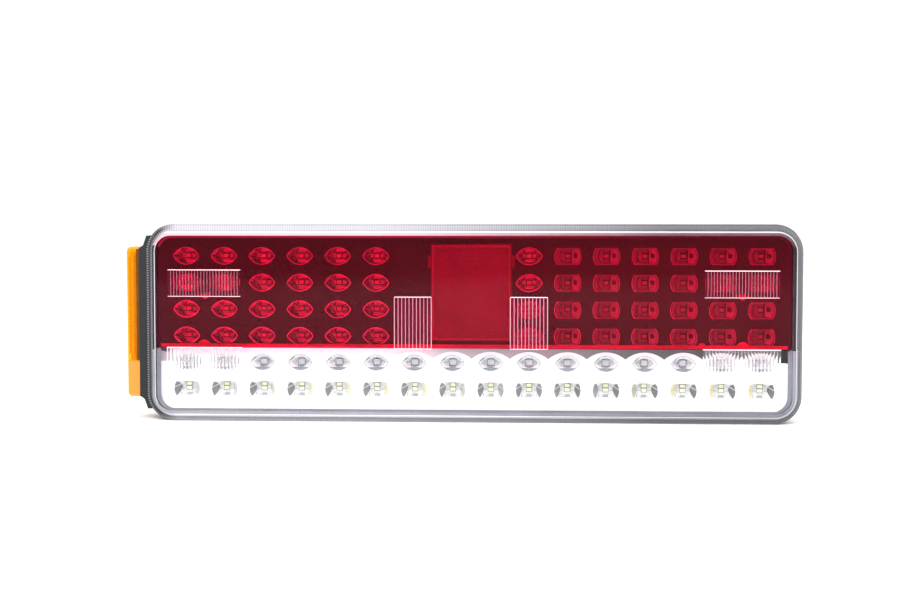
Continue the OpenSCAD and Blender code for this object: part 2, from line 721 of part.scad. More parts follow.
module marker_screws() color([0.75, 0.75, 0.78]) marker_stand() for (s = [-1, 1])
    translate([marker_base_x - 3, s * marker_screw_y, marker_z]) rotate([0, -90, 0])
        pan_screw(3, 1.8, 1.45, 7.2);

module marker_wires() color([0.15, 0.15, 0.16]) marker_stand() for (s = [-1, 1])
    wire([[marker_board_x + 1, s * 1.4, marker_z], [marker_x + 17, s * 1.4, marker_z],
          [marker_x + 17, s * 1.4, board_z]], wire_r);

housing();
lens_clear();
lens_red();
lens_seal();
upper_bezel();
lower_bezel();
upper_reflector();
lower_reflector();
reflector_screws();
reflex_reflector();
reflex_backing();
circuit_board();
board_screws();
tail_leds();
turn_leds();
fog_leds();
reverse_leds();
board_resistors();
driver_chips();
capacitors();
board_header();
inner_wires();
inlet_socket();
inlet_gasket();
inlet_contacts();
inlet_screws();
vent_cap();
vent_membrane();
mounting_studs();
stud_seals();
stud_nuts();
mounting_pads();
marker_base();
marker_gasket();
marker_lens();
marker_reflex();
marker_board();
marker_leds();
marker_screws();
marker_wires();
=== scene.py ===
import json
import math

import bpy
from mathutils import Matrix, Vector


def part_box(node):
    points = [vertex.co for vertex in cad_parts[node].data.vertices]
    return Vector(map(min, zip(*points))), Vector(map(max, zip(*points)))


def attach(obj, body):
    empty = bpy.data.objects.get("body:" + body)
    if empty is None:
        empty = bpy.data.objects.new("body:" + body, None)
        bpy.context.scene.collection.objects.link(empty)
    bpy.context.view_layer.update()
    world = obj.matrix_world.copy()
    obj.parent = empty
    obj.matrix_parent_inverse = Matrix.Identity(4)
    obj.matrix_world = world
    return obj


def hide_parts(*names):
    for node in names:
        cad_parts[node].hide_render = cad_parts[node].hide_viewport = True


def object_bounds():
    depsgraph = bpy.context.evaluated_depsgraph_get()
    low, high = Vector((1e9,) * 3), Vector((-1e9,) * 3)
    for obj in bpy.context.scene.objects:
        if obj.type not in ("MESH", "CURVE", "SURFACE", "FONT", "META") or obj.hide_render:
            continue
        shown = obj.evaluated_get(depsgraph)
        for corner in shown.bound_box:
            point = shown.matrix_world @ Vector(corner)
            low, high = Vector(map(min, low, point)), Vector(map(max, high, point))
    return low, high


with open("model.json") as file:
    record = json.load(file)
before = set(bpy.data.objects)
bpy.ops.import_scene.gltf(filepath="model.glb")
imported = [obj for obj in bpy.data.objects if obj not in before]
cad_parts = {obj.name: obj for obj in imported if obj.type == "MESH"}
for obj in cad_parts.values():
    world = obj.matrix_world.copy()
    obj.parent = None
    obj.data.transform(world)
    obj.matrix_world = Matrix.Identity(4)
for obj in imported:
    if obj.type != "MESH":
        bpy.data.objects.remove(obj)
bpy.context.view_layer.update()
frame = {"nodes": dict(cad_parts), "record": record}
NODES = frame["nodes"]
MM = 0.001


def low(node):
    return [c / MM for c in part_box(node)[0]]


def high(node):
    return [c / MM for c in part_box(node)[1]]


# Sizes in mm, read from the CAD nodes where they can be. A level is a distance in front of the
# mounting plane. "Out" is a distance past the edge of the lens's flat window.
RIM_OUT = 7.5
WINDOW_R = 10.5
HALF_W = high("lens_clear")[0] - RIM_OUT
HALF_H = high("lens_clear")[2] - RIM_OUT
LENS_FACE = 48
STEP, STEP_OUT = 39.58, 7.4  # the flat step round the rim: its level and where it ends
SHELF = 41  # the level of what shows through the window's edge
SPLIT = low("lens_red")[2]
BOARD_TOP = -low("circuit_board")[1]
LED_TOP = -low("tail_leds")[1]
FOG_TOP = -low("fog_leds")[1]
BEZEL_TOP = -low("lower_bezel")[1]
COLUMNS, ROWS, RED_ROWS = 16, 6, 4
FOG_LED_W, TAIL_LED_H = 5, 2.8
PITCH_X = (high("fog_leds")[0] - low("fog_leds")[0] - FOG_LED_W) / (COLUMNS - 1)
PITCH_Y = (high("tail_leds")[2] - low("tail_leds")[2] - TAIL_LED_H) / (RED_ROWS - 1)


def col_x(c):
    return (c - (COLUMNS - 1) / 2) * PITCH_X


def row_z(r):
    return ((ROWS - 1) / 2 - r) * PITCH_Y


TAIL_SITES = [(col_x(c), row_z(r)) for r in range(RED_ROWS) for c in (0, 1, 2, 3, 4, 5, 9)]
TURN_SITES = [(col_x(c), row_z(r)) for r in range(RED_ROWS) for c in range(10, COLUMNS)]
FOG_SITES = [(col_x(c), row_z(4)) for c in range(COLUMNS)]
REVERSE_SITES = [(col_x(c), row_z(5)) for c in range(COLUMNS)]
SCREW_X = 7 * PITCH_X


# ---------- materials ----------

MATERIALS = {}


def new_material(name):
    """An empty material, kept under its name: itself, its nodes and links, and the socket its
    surface goes into."""
    material = MATERIALS[name] = bpy.data.materials.new(name)
    material.use_nodes = True
    nodes, links = material.node_tree.nodes, material.node_tree.links
    nodes.clear()
    return material, nodes, links, nodes.new("ShaderNodeOutputMaterial").inputs["Surface"]


def coordinates(nodes, links, kind="Object"):
    """The X, Y and Z of the place being shaded, in metres."""
    split = nodes.new("ShaderNodeSeparateXYZ")
    links.new(nodes.new("ShaderNodeTexCoord").outputs[kind], split.inputs[0])
    return split.outputs


def noise(nodes, links, scale, detail=4.0):
    where = nodes.new("ShaderNodeTexCoord")
    texture = nodes.new("ShaderNodeTexNoise")
    texture.inputs["Scale"].default_value = scale
    texture.inputs["Detail"].default_value = detail
    links.new(where.outputs["Object"], texture.inputs["Vector"])
    return texture.outputs["Fac"]


def ramp(nodes, links, source, low_color, high_color, start=0.3, end=0.7):
    node = nodes.new("ShaderNodeValToRGB")
    node.color_ramp.elements[0].position = start
    node.color_ramp.elements[1].position = end
    node.color_ramp.elements[0].color = low_color
    node.color_ramp.elements[1].color = high_color
    links.new(source, node.inputs["Fac"])
    return node.outputs["Color"]


def bump(nodes, links, source, strength, distance):
    node = nodes.new("ShaderNodeBump")
    node.inputs["Strength"].default_value = strength
    node.inputs["Distance"].default_value = distance
    links.new(source, node.inputs["Height"])
    return node.outputs["Normal"]


def map_range(nodes, links, source, from_min, from_max, to_min=0, to_max=1):
    node = nodes.new("ShaderNodeMapRange")
    node.inputs["From Min"].default_value = from_min
    node.inputs["From Max"].default_value = from_max
    node.inputs["To Min"].default_value = to_min
    node.inputs["To Max"].default_value = to_max
    links.new(source, node.inputs["Value"])
    return node.outputs["Result"]


def math_node(nodes, links, operation, *values):
    """Each value is a socket or a number."""
    node = nodes.new("ShaderNodeMath")
    node.operation = operation
    for value, entry in zip(values, node.inputs):
        if isinstance(value, bpy.types.NodeSocket):
            links.new(value, entry)
        else:
            entry.default_value = value
    return node.outputs[0]


def vector_math(nodes, links, operation, first, second=None):
    node = nodes.new("ShaderNodeVectorMath")
    node.operation = operation
    links.new(first, node.inputs[0])
    if second is not None:
        node.inputs[1].default_value = second
    return node.outputs["Value" if operation == "LENGTH" else "Vector"]


def mix_shaders(nodes, links, amount, first, second):
    mix = nodes.new("ShaderNodeMixShader")
    links.new(amount, mix.inputs["Fac"])
    links.new(first, mix.inputs[1])
    links.new(second, mix.inputs[2])
    return mix.outputs["Shader"]


def grey(value):
    return (value, value, value, 1)


def solid(name, color, rough, metallic=0.0, vary=0.12, grain=900, relief=0.1, depth=0.00005,
          specular=0.5, broad=None):
    """An opaque material whose colour, roughness and surface all vary a little."""
    material, nodes, links, surface = new_material(name)
    shader = nodes.new("ShaderNodeBsdfPrincipled")
    dark = tuple(c * (1 - vary) for c in color) + (1,)
    light = tuple(min(1, c * (1 + vary)) for c in color) + (1,)
    patches = noise(nodes, links, broad or grain * 0.12)
    fine = noise(nodes, links, grain)
    links.new(ramp(nodes, links, patches, dark, light), shader.inputs["Base Color"])
    links.new(ramp(nodes, links, fine, grey(rough * 0.8), grey(min(1, rough * 1.2))),
              shader.inputs["Roughness"])
    links.new(bump(nodes, links, fine, relief, depth), shader.inputs["Normal"])
    shader.inputs["Metallic"].default_value = metallic
    shader.inputs["Specular IOR Level"].default_value = specular
    links.new(shader.outputs["BSDF"], surface)
    return material


def clear_parts(nodes, links, tint, rough, ior, most):
    """Straight-through tinted light, and a Fresnel reflection of at most `most`."""
    through = nodes.new("ShaderNodeBsdfTransparent")
    gloss = nodes.new("ShaderNodeBsdfGlossy")
    fresnel = nodes.new("ShaderNodeFresnel")
    through.inputs["Color"].default_value = tint + (1,)
    gloss.inputs["Roughness"].default_value = rough
    fresnel.inputs["IOR"].default_value = ior
    links.new(bump(nodes, links, noise(nodes, links, 60, 2), 0.02, 0.0004),
              gloss.inputs["Normal"])
    amount = math_node(nodes, links, "MINIMUM", fresnel.outputs["Fac"], most)
    return mix_shaders(nodes, links, amount, through.outputs["BSDF"], gloss.outputs["BSDF"])


def clear(name, tint, ior=1.27, most=0.1, haze_and_glint=0.0, haze_color=(1, 1, 1)):
    """Clear or tinted acrylic. Its haze is how much diffuse light it sends back: real scatter
    from the pigment in the red lens, and painted glints on the flutes' lines and ends.
    """
    material, nodes, links, surface = new_material(name)
    shown = clear_parts(nodes, links, tint, 0.02, ior, most)
    if haze_and_glint:
        milky = nodes.new("ShaderNodeBsdfDiffuse")
        milky.inputs["Color"].default_value = haze_color + (1,)
        amount = ramp(nodes, links, noise(nodes, links, 14, 3), grey(haze_and_glint * 0.75),
                      grey(haze_and_glint * 1.25))
        shown = mix_shaders(nodes, links, amount, shown, milky.outputs["BSDF"])
    links.new(shown, surface)
    return material


def bending(name):
    """Clear acrylic that bends what is seen through it, and lets the lamps' light straight in."""
    material, nodes, links, surface = new_material(name)
    path = nodes.new("ShaderNodeLightPath")
    bent = nodes.new("ShaderNodeBsdfGlass")
    straight = nodes.new("ShaderNodeBsdfTransparent")
    bent.inputs["IOR"].default_value = 1.4
    bent.inputs["Color"].default_value = (0.98, 0.98, 0.98, 1)
    links.new(ramp(nodes, links, noise(nodes, links, 90), grey(0.03), grey(0.08)),
              bent.inputs["Roughness"])
    links.new(mix_shaders(nodes, links, path.outputs["Is Shadow Ray"], bent.outputs["BSDF"],
                          straight.outputs["BSDF"]), surface)
    return material


def rim_clear(name, tint, dim, pale, top_milk_and_light, end_milk_and_shade):
    """Clear acrylic whose moulded rim, beyond the flat window, scatters light. How much it
    scatters
    is painted light and shade: most along the top, less along the foot, least at the ends, and
    less towards the bottom. What it scatters is painted light and shade too: pale on the marker's
    side of the lamp and dim on the other."""
    material, nodes, links, surface = new_material(name)
    core = ((HALF_W - WINDOW_R) * MM, 1.0, (HALF_H - WINDOW_R) * MM)
    past = vector_math(nodes, links, "ABSOLUTE", nodes.new("ShaderNodeTexCoord").outputs["Object"])
    past = vector_math(nodes, links, "SUBTRACT", past, core)
    past = vector_math(nodes, links, "MAXIMUM", past, (0, 0, 0))
    away = vector_math(nodes, links, "LENGTH", past)
    facing = nodes.new("ShaderNodeSeparateXYZ")
    links.new(vector_math(nodes, links, "NORMALIZE", past), facing.inputs[0])
    place = coordinates(nodes, links)
    rim = map_range(nodes, links, away, (WINDOW_R - 0.2) * MM, (WINDOW_R + 0.8) * MM)
    # painted light: more scatter where the rim faces up, less at the ends and low down
    milk = map_range(nodes, links, facing.outputs["Z"], 0.3, 0.95, end_milk_and_shade, top_milk_and_light)
    foot = map_range(nodes, links, place["Z"], -0.055, 0.03, 0.5)
    amount = math_node(nodes, links, "MULTIPLY", rim, milk)
    amount = math_node(nodes, links, "MULTIPLY", amount, foot)
    along = map_range(nodes, links, place["X"], 0.13, -0.1)
    shade = math_node(nodes, links, "MULTIPLY_ADD", noise(nodes, links, 40), 0.3, along)
    milky = nodes.new("ShaderNodeBsdfPrincipled")
    links.new(ramp(nodes, links, shade, dim + (1,), pale + (1,), 0.1, 1),
              milky.inputs["Base Color"])
    milky.inputs["Roughness"].default_value = 0.3
    links.new(mix_shaders(nodes, links, amount, clear_parts(nodes, links, tint, 0.04, 1.3, 0.05),
                          milky.outputs["BSDF"]), surface)
    return material


def amber(name):
    """Amber acrylic, milkier and paler in the plain end over the marker's LEDs."""
    material, nodes, links, surface = new_material(name)
    place = map_range(nodes, links, coordinates(nodes, links)["Z"], -0.0275, -0.0255)
    milky = nodes.new("ShaderNodeBsdfDiffuse")
    links.new(ramp(nodes, links, place, (1.0, 0.37, 0.08, 1), (1.0, 0.42, 0.002, 1), 0, 1),
              milky.inputs["Color"])
    amount = ramp(nodes, links, place, grey(0.6), grey(0.2), 0, 1)
    through = clear_parts(nodes, links, (1.0, 0.7, 0.15), 0.04, 1.2, 0.06)
    links.new(mix_shaders(nodes, links, amount, through, milky.outputs["BSDF"]), surface)
    return material


def along_x(name, stops, rough, specular=0.5):
    """An opaque material whose colour runs through `stops`, (x in mm, grey or colour), along
    the lamp. A grey is made slightly blue. It carries painted light, shade and reflections that
    change along the lamp."""
    material, nodes, links, surface = new_material(name)
    shader = nodes.new("ShaderNodeBsdfPrincipled")
    start, length = stops[0][0], stops[-1][0] - stops[0][0]
    shade = nodes.new("ShaderNodeValToRGB")
    elements = shade.color_ramp.elements
    while len(elements) < len(stops):
        elements.new(0.5)
    for element, (x, shown) in zip(elements, stops):
        element.position = (x - start) / length
        color = shown if isinstance(shown, tuple) else (shown * 0.95, shown * 0.97, shown * 1.05)
        element.color = color + (1,)
    links.new(map_range(nodes, links, coordinates(nodes, links)["X"], start * MM,
                        (start + length) * MM), shade.inputs["Fac"])
    links.new(shade.outputs["Color"], shader.inputs["Base Color"])
    links.new(bump(nodes, links, noise(nodes, links, 700), 0.1, 0.00005), shader.inputs["Normal"])
    shader.inputs["Roughness"].default_value = rough
    shader.inputs["Specular IOR Level"].default_value = specular
    links.new(shader.outputs["BSDF"], surface)
    return material


def rim_painted_greys(name, ends, left, mid, right):
    """Painted light and shade along the rim: dark at the ends, then greys from left to right."""
    stops = ((-215, ends), (-206, ends), (-195, left), (-60, left * 0.95), (60, mid),
             (120, right), (215, right * 0.85))
    return along_x(name, stops, 0.3, 0.2)


def rim_painted_colors(name, rough, *colors):
    """Five colours along the rim, from left to right: painted reflections, light and shade."""
    return along_x(name, tuple(zip((-215, -60, 60, 120, 215), colors)), rough, 0.1)


# the materials that the part's own slots name
solid("black_plastic", (0.012, 0.014, 0.017), 0.45, grain=1800, relief=0.35, specular=0.25)
rim_clear("clear_lens", (0.975, 0.98, 0.985), (0.11, 0.09, 0.105), (0.6, 0.56, 0.61), 0.5, 0.03)
clear("red_lens", (0.95, 0.2, 0.44), ior=1.2, most=0.05, haze_and_glint=0.007, haze_color=(0.7, 0.0, 0.03))
solid("seal_rubber", (0.02, 0.02, 0.021), 0.75, grain=1200, relief=0.25)
solid("dark_bezel", (0.018, 0.013, 0.014), 0.3, grain=700, relief=0.01, vary=0.5, broad=9,
      specular=0.35)
# greenish white, a painted tint that cancels the pink light reaching it through the red lens
solid("white_plastic", (0.84, 0.9, 0.88), 0.35, vary=0.02, relief=0.05)
solid("chrome_cups", (0.9, 0.9, 0.92), 0.12, metallic=1.0, vary=0.04, grain=300, relief=0.06,
      depth=0.0001)
solid("screw_steel", (0.72, 0.72, 0.74), 0.28, metallic=1.0, grain=1500)
clear("reflex_red", (0.98, 0.75, 0.85), ior=1.15, most=0.05)
solid("reflex_back", (0.16, 0.03, 0.06), 0.4)
solid("board_white", (0.92, 0.93, 0.92), 0.4, vary=0.03)
solid("led_amber", (0.5, 0.42, 0.34), 0.35, vary=0.05)
solid("led_phosphor", (0.95, 0.94, 0.6), 0.35, vary=0.05)
solid("chip_black", (0.03, 0.03, 0.032), 0.5)
solid("capacitor_can", (0.6, 0.61, 0.64), 0.3, metallic=1.0)
solid("header_nylon", (0.8, 0.78, 0.7), 0.45)
solid("wire_red", (0.4, 0.02, 0.02), 0.45)
solid("contact_brass", (0.78, 0.58, 0.25), 0.25, metallic=1.0)
solid("membrane_white", (0.85, 0.85, 0.85), 0.8)
solid("stud_zinc", (0.7, 0.7, 0.66), 0.32, metallic=1.0, grain=1500)
amber("amber_lens")
solid("amber_reflex", (0.95, 0.5, 0.02), 0.25)
solid("wire_black", (0.02, 0.02, 0.022), 0.45)

# the other screws, LEDs and cups
solid("screw_gold", (0.85, 0.5, 0.28), 0.3, metallic=1.0, grain=1500)
solid("white_chrome", (0.97, 0.965, 0.975), 0.3, metallic=0.12, vary=0.02, grain=300, relief=0.06)
solid("resistor", (0.45, 0.46, 0.48), 0.5)
solid("tail_chip", (0.7, 0.68, 0.64), 0.35)
solid("fog_chip", (0.6, 0.61, 0.65), 0.35, vary=0.05)
# painted shade and shadow round the LEDs, on the cups' floors and at the packages' edges
solid("tail_floor", (0.62, 0.62, 0.63), 0.4)
solid("cup_floor_shade", (0.3, 0.3, 0.31), 0.4)
solid("led_painted_shadow", (0.012, 0.008, 0.01), 0.6, specular=0.1)
solid("led_outline", (0.12, 0.13, 0.15), 0.5)
solid("reverse_outline", (0.2, 0.21, 0.24), 0.5)

# painted shade, highlights and reflections in the metallised cups
solid("mouth_painted_shade", (0.2, 0.35, 0.33), 0.5, specular=0.1)
solid("waist_painted_shade", (0.3, 0.31, 0.34), 0.4)
solid("cup_shade", (0.27, 0.33, 0.36), 0.4)
solid("turn_lip", (0.24, 0.24, 0.25), 0.5, specular=0.2)
solid("turn_painted_dark", (0.14, 0.12, 0.13), 0.6, specular=0.1)
solid("turn_painted_shade", (0.33, 0.33, 0.34), 0.5, specular=0.2)
solid("turn_painted_highlight", (0.66, 0.66, 0.67), 0.4)
along_x("lobe_left_painted_reflection", ((-208, 0.2), (-30, 0.24), (40, 0.2), (90, 0.32), (130, (0.8, 0.76, 0.45)),
                      (208, (0.78, 0.74, 0.45))), 0.35)
along_x("lobe_right_painted_reflection", ((-208, 0.62), (-150, 0.6), (-100, (0.8, 0.79, 0.5)),
                       (-30, (0.75, 0.74, 0.5)), (0, 0.45), (60, 0.17), (208, 0.13)), 0.35)

# the rim: painted light, shade, reflections and highlights, mostly lighter on the marker's side
# and darker towards the far end, with separate greys for the top and the foot
rim_painted_greys("teeth_top", 0.2, 0.62, 0.38, 0.25)
rim_painted_greys("teeth_in_top", 0.22, 0.7, 0.4, 0.26)
rim_painted_greys("teeth_foot", 0.2, 0.6, 0.42, 0.3)
rim_painted_greys("teeth_in_foot", 0.22, 0.95, 0.8, 0.55)
rim_painted_greys("groove_top", 0.03, 0.25, 0.11, 0.06)
rim_painted_greys("groove_in_top", 0.04, 0.25, 0.1, 0.05)
rim_painted_greys("groove_foot", 0.03, 0.17, 0.1, 0.07)
rim_painted_greys("groove_in_foot", 0.04, 0.35, 0.28, 0.18)
rim_painted_greys("flange_top", 0.03, 0.5, 0.3, 0.19)
rim_painted_greys("flange_foot", 0.03, 0.27, 0.2, 0.14)
rim_painted_colors("rim_rose", 0.4, (0.42, 0.27, 0.31), (0.42, 0.25, 0.29), (0.3, 0.15, 0.19),
           (0.17, 0.07, 0.09), (0.15, 0.06, 0.08))
rim_painted_colors("rim_pink", 0.4, (0.52, 0.28, 0.34), (0.52, 0.26, 0.31), (0.3, 0.08, 0.11),
           (0.15, 0.03, 0.045), (0.13, 0.025, 0.04))
rim_painted_colors("rim_blush", 0.4, (0.52, 0.23, 0.28), (0.52, 0.2, 0.25), (0.2, 0.03, 0.05),
           (0.09, 0.006, 0.015), (0.07, 0.006, 0.012))
rim_painted_colors("rim_red", 0.5, (0.3, 0.34, 0.3), (0.33, 0.36, 0.33), (0.2, 0.22, 0.2),
           (0.1, 0.12, 0.12), (0.08, 0.1, 0.1))
along_x("rim_highlight_line", ((-215, 0.1), (-206, 0.1), (-195, 0.8), (0, 0.8), (100, 0.55), (215, 0.5)),
        0.3)
along_x("rim_end", ((-215, 0.01), (0, 0.05), (215, 0.1)), 0.4)
solid("rim_edge_highlight", (0.36, 0.4, 0.45), 0.35, grain=400)
solid("rim_shade", (0.22, 0.225, 0.26), 0.4, grain=400, specular=0.2)
solid("rim_foot", (0.2, 0.2, 0.24), 0.4, grain=400, specular=0.2)

# the reflex field, the side marker, the flutes and the ledge
solid("reflex_prism", (0.24, 0.045, 0.33), 0.35, metallic=0.45, vary=0.1, grain=500)
solid("reflex_line", (0.42, 0.1, 0.35), 0.35)
# painted shade where the amber lens meets its black base
solid("marker_painted_shade", (0.13, 0.04, 0.001), 0.5, specular=0.1)
solid("marker_prism", (0.9, 0.42, 0.01), 0.3, vary=0.1)
bending("flute_glass")
# the flutes' pale lines and ends are painted glints
clear("flute_glint_line", (0.9, 0.86, 0.88), ior=1.2, haze_and_glint=0.42, haze_color=(0.95, 0.9, 0.93))
clear("flute_end", (0.9, 0.86, 0.88), ior=1.3, haze_and_glint=0.85, haze_color=(0.98, 0.95, 0.97))
# a painted highlight for the red shot's lower edge
solid("edge_glow", (0.55, 0.22, 0.28), 0.3, vary=0.35, grain=500, broad=25)
solid("ledge_grey", (0.36, 0.35, 0.39), 0.35, grain=300)
# painted light and shade along the ledge: pale at the marker's end, dark at the far end
along_x("ledge", ((-208, 0.9), (-60, 0.9), (-5, 0.38), (110, 0.055), (150, 0.035), (208, 0.035)),
        0.35)

# every node wears its slot's material, apart from the ones that look different in the photo
SLOT_OF = {s["node"]: s["material_slot"] for s in frame["record"]["subparts"]}
WORN = {"reflector_screws": "screw_gold", "lower_reflector": "white_chrome",
        "board_resistors": "resistor", "tail_leds": "tail_chip", "fog_leds": "fog_chip"}
for name, node in NODES.items():
    node.data.materials.clear()
    node.data.materials.append(MATERIALS[WORN.get(name, SLOT_OF[name])])


def soften(obj, width):
    """Joins the split corners of a CAD node's mesh and rounds its hard edges."""
    weld = obj.modifiers.new("weld", "WELD")
    weld.merge_threshold = 0.002 * MM
    bevel = obj.modifiers.new("bevel", "BEVEL")
    bevel.width = width * MM
    bevel.segments = 2
    bevel.limit_method = "ANGLE"
    bevel.angle_limit = math.radians(32)


for name, width in (("housing", 0.4), ("marker_base", 0.5), ("stud_nuts", 0.3), ("vent_cap", 0.3),
                    ("inlet_socket", 0.3), ("marker_lens", 0.4)):
    soften(NODES[name], width)


# ---------- pieces ----------

def add_piece(name, verts, faces, material):
    """A piece from points in mm, in the frame's own axes."""
    mesh = bpy.data.meshes.new(name)
    mesh.from_pydata([tuple(c * MM for c in v) for v in verts], [], faces)
    mesh.update()
    obj = bpy.data.objects.new(name, mesh)
    obj.data.materials.append(MATERIALS[material])
    bpy.context.scene.collection.objects.link(obj)
    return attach(obj, "root")


def bar_faces(count, sides, closed=False):
    """Faces of a bar with `count` rings of `sides` points: a loop, or open with two end caps."""
    faces = []
    for i in range(count if closed else count - 1):
        a, b = sides * i, sides * ((i + 1) % count)
        faces += [(a + k, b + k, b + (k + 1) % sides, a + (k + 1) % sides) for k in range(sides)]
    if not closed:
        last = sides * (count - 1)
        faces += [tuple(range(sides)), tuple(last + k for k in reversed(range(sides)))]
    return faces


def outward(verts, faces):
    """The faces of one closed shape, all turned to point outward."""
    start = Vector(verts[faces[0][0]])
    volume = 0
    for face in faces:
        first, *others = [Vector(verts[i]) - start for i in face]
        volume += sum(first.dot(b.cross(c)) for b, c in zip(others, others[1:]))
    return [face[::-1] for face in faces] if volume < 0 else faces


def add_bars(name, bars, material):
    """Several bars in one piece. Each is a list of rings, all with the same number of points,
    either way round."""
    verts, faces = [], []
    for rings in bars:
        base = len(verts)
        verts += [point for ring in rings for point in ring]
        faces += outward(verts, [tuple(base + i for i in face)
                                 for face in bar_faces(len(rings), len(rings[0]))])
    return add_piece(name, verts, faces, material)


def rim_points(out, spacing):
    """Evenly spaced places on the lens rim, `out` mm from the window: (x, z, nx, nz)."""
    half_w, half_h, r = HALF_W + out, HALF_H + out, WINDOW_R + out
    straight_w, straight_h, bend = 2 * (half_w - r), 2 * (half_h - r), math.pi / 2 * r
    around = 2 * (straight_w + straight_h) + 4 * bend
    count = round(around / spacing)
    points = []
    for i in range(count):
        s = i * around / count
        for side in range(4):
            run = straight_w if side % 2 == 0 else straight_h
            if s < run + bend:
                break
            s -= run + bend
        turn = 0 if s < run else (s - run) / r
        along = min(s, run) - run / 2
        x = along + r * math.sin(turn)
        y = (half_h if side % 2 == 0 else half_w) - r + r * math.cos(turn)
        a = -side * math.pi / 2
        n = math.pi / 2 - turn + a
        points.append((x * math.cos(a) - y * math.sin(a), x * math.sin(a) + y * math.cos(a),
                       math.cos(n), math.sin(n)))
    return points


def add_teeth(name, inner, outer, spacing, width, height, material, keep):
    """Small ridges across the rim, each from `inner` to `outer`: (mm from the window, level),
    only where keep(z, nx, nz) holds."""
    bars = []
    mid = (inner[0] + outer[0]) / 2
    slope = math.atan2(outer[1] - inner[1], outer[0] - inner[0])
    lift = (-math.sin(slope) * height, math.cos(slope) * height)
    for x, z, nx, nz in rim_points(mid, spacing):
        if not keep(z, nx, nz):
            continue
        rings = []
        for out, level in (inner, outer):
            px, pz = x + nx * (out - mid), z + nz * (out - mid)
            rings.append([(px + nz * width / 2, -level, pz - nx * width / 2),
                          (px - nz * width / 2, -level, pz + nx * width / 2),
                          (px + nx * lift[0], -level - lift[1], pz + nz * lift[0])])
        bars.append(rings)
    return add_bars(name, bars, material)


def add_rim_strip(name, inner, outer, thick, material, keep=None,
                  taper=False):
    """A thin strip round the rim between two (mm from the window, level) lines. With `keep`,
    only where keep(z, nx, nz) holds. With `taper`, its inner edge narrows round the corners."""
    mid = (inner[0] + outer[0]) / 2
    points = rim_points(mid, 1.5)
    kept = [keep is None or keep(p[1], p[2], p[3]) for p in points]
    start = next((i for i in range(len(points)) if kept[i] and not kept[i - 1]), 0)
    verts, faces, run = [], [], []
    for i in range(len(points) + 1):
        at = (start + i) % len(points)
        if i < len(points) and kept[at]:
            run.append(points[at])
            continue
        if len(run) > 1:
            base = len(verts)
            for x, z, nx, nz in run:
                edge = inner
                if taper:
                    edge = (outer[0] + (inner[0] - outer[0]) * abs(nx), inner[1])
                for (out, level), rise in ((edge, 0), (outer, 0), (outer, thick), (edge, thick)):
                    verts.append((x + nx * (out - mid), -level - rise, z + nz * (out - mid)))
            faces += outward(verts, [tuple(base + i for i in face) for face in
                                     bar_faces(len(run), 4, len(run) == len(points))])
        run = []
    return add_piece(name, verts, faces, material)


def add_frames(name, sites, width, height, line, bottom, top, material, slot):
    """A thin rectangular frame at each site, `line` mm wide."""
    verts, faces = [], []
    for x, z in sites:
        base = len(verts)
        for level in (bottom, top):
            for shrink in (0, line):
                w, h = width / 2 - shrink, height / 2 - shrink
                verts += [(x + sx * w, -level, z + sz * h)
                          for sx, sz in ((-1, -1), (1, -1), (1, 1), (-1, 1))]
        for i in range(4):
            j = (i + 1) % 4
            faces += [tuple(base + k for k in quad) for quad in (
                (8 + i, 8 + j, 12 + j, 12 + i), (i, 4 + i, 4 + j, j),
                (i, j, 8 + j, 8 + i), (4 + i, 12 + i, 12 + j, 4 + j))]
    return add_piece(name, verts, faces, material)


def add_prism_sheet(name, middle, width, height, pitch, depth, place, material):
    """Hexagonal cube-corner prisms, as on the back of a reflex reflector. `place` turns
    (across, up, out) into a point of the frame."""
    verts, faces = [], []
    row_step = pitch * math.sqrt(3) / 2
    corner_r = pitch / math.sqrt(3)
    rows = int(height / row_step) - 1
    for row in range(rows):
        shift = pitch / 2 if row % 2 else 0
        for col in range(int((width - shift) / pitch)):
            u = middle[0] - width / 2 + pitch * (col + 0.5) + shift
            v = middle[1] + (row - (rows - 1) / 2) * row_step
            base = len(verts)
            verts.append(place(u, v, 0))
            for k in range(6):
                a = math.radians(60 * k + 30)
                rise = depth * (0.67 if k % 2 else 0.33)
                verts.append(place(u + corner_r * math.cos(a), v + corner_r * math.sin(a), rise))
            for k in (0, 2, 4):
                faces.append((base, base + 1 + k, base + 1 + (k + 1) % 6, base + 1 + (k + 2) % 6))
    obj = add_piece(name, verts, faces, material)
    weld = obj.modifiers.new("weld", "WELD")
    weld.merge_threshold = 0.05 * MM
    skin = obj.modifiers.new("thickness", "SOLIDIFY")
    skin.thickness = 0.1 * MM
    skin.offset = 0
    return obj


# the rim: rows of small teeth in dark grooves, the strip between them, and thin strips that stand
# for what the fillet and the edges reflect. All their colours are painted light, shade and
# reflections: the teeth, grooves and flanges are lighter along the top and on the marker's side,
# the pinks and pale lines are painted reflections and highlights, the ends are painted shade, and
# the greys at the foot and the window's edge stand for the dim inside with painted light and
# shade.
# Places are (out, level).
TOOTH = 1.6, 0.8, 0.35  # spacing, width and height
THIN = 0.05


def at_top(z, nx, nz):
    return nz > 0.3


def at_foot(z, nx, nz):
    return z < SPLIT


